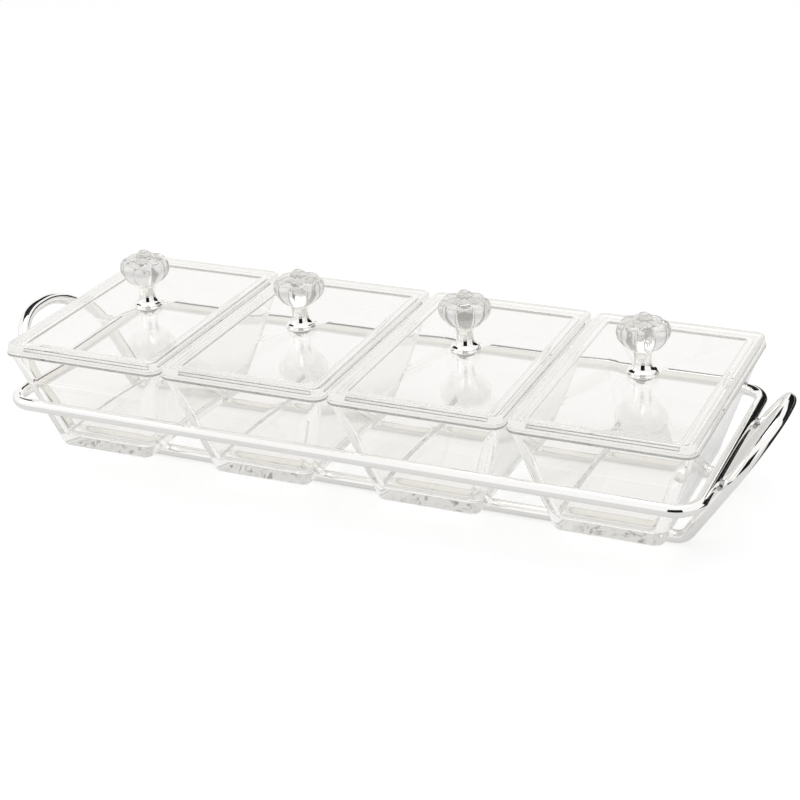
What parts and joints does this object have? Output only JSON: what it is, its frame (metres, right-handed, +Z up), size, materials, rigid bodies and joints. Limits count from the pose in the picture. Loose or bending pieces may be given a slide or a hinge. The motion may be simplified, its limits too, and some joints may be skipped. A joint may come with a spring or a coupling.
{
  "type": "divided serving dish",
  "caption": "Row of lidded rectangular glass serving dishes in a chromed wire caddy with an arched handle at each end; each flat lid lifts off by a lobed crystal knob.",
  "frame": {"origin": "middle of the caddy on the table plane under its two lower rails", "axes": "+X along the row of dishes towards the right handle, +Y across the row towards the back, +Z up"},
  "size_m": [0.5242, 0.184, 0.1244],
  "materials": {
    "clear_glass": "clear pressed glass, fire polished",
    "crystal": "cut crystal, polished",
    "chrome_wire": "bright chrome plate on steel wire",
    "chrome_turned": "bright chrome plate on turned brass",
    "braze": "chrome plate over a brazed joint",
    "insert_metal": "nickel plate on turned brass",
    "screw_steel": "plain stainless steel",
    "soft_washer": "translucent soft plastic"
  },
  "bodies": {
    "caddy": {"caddy_ring": "chrome_wire", "lower_frame": "chrome_wire", "ring_welds": "braze"},
    "dish_1": {"dish_1": "clear_glass"},
    "lid_1": {"lid_1": "clear_glass", "lid_under_washer_1": "soft_washer", "lid_top_washer_1": "soft_washer", "lid_screw_1": "screw_steel", "knob_pedestal_1": "chrome_turned", "knob_insert_1": "insert_metal", "crystal_knob_1": "crystal"},
    "dish_2": {"dish_2": "clear_glass"},
    "lid_2": {"lid_2": "clear_glass", "lid_under_washer_2": "soft_washer", "lid_top_washer_2": "soft_washer", "lid_screw_2": "screw_steel", "knob_pedestal_2": "chrome_turned", "knob_insert_2": "insert_metal", "crystal_knob_2": "crystal"},
    "dish_3": {"dish_3": "clear_glass"},
    "lid_3": {"lid_3": "clear_glass", "lid_under_washer_3": "soft_washer", "lid_top_washer_3": "soft_washer", "lid_screw_3": "screw_steel", "knob_pedestal_3": "chrome_turned", "knob_insert_3": "insert_metal", "crystal_knob_3": "crystal"},
    "dish_4": {"dish_4": "clear_glass"},
    "lid_4": {"lid_4": "clear_glass", "lid_under_washer_4": "soft_washer", "lid_top_washer_4": "soft_washer", "lid_screw_4": "screw_steel", "knob_pedestal_4": "chrome_turned", "knob_insert_4": "insert_metal", "crystal_knob_4": "crystal"}
  },
  "joints": [
    {"name": "dish_1_lift", "type": "slide", "parent": "caddy", "child": "dish_1", "axis": [0, 0, 1], "range_m": [0, 0.13]},
    {"name": "lid_1_lift", "type": "slide", "parent": "dish_1", "child": "lid_1", "axis": [0, 0, 1], "range_m": [0, 0.1]},
    {"name": "dish_2_lift", "type": "slide", "parent": "caddy", "child": "dish_2", "axis": [0, 0, 1], "range_m": [0, 0.13]},
    {"name": "lid_2_lift", "type": "slide", "parent": "dish_2", "child": "lid_2", "axis": [0, 0, 1], "range_m": [0, 0.1]},
    {"name": "dish_3_lift", "type": "slide", "parent": "caddy", "child": "dish_3", "axis": [0, 0, 1], "range_m": [0, 0.13]},
    {"name": "lid_3_lift", "type": "slide", "parent": "dish_3", "child": "lid_3", "axis": [0, 0, 1], "range_m": [0, 0.1]},
    {"name": "dish_4_lift", "type": "slide", "parent": "caddy", "child": "dish_4", "axis": [0, 0, 1], "range_m": [0, 0.13]},
    {"name": "lid_4_lift", "type": "slide", "parent": "dish_4", "child": "lid_4", "axis": [0, 0, 1], "range_m": [0, 0.1]}
  ]
}
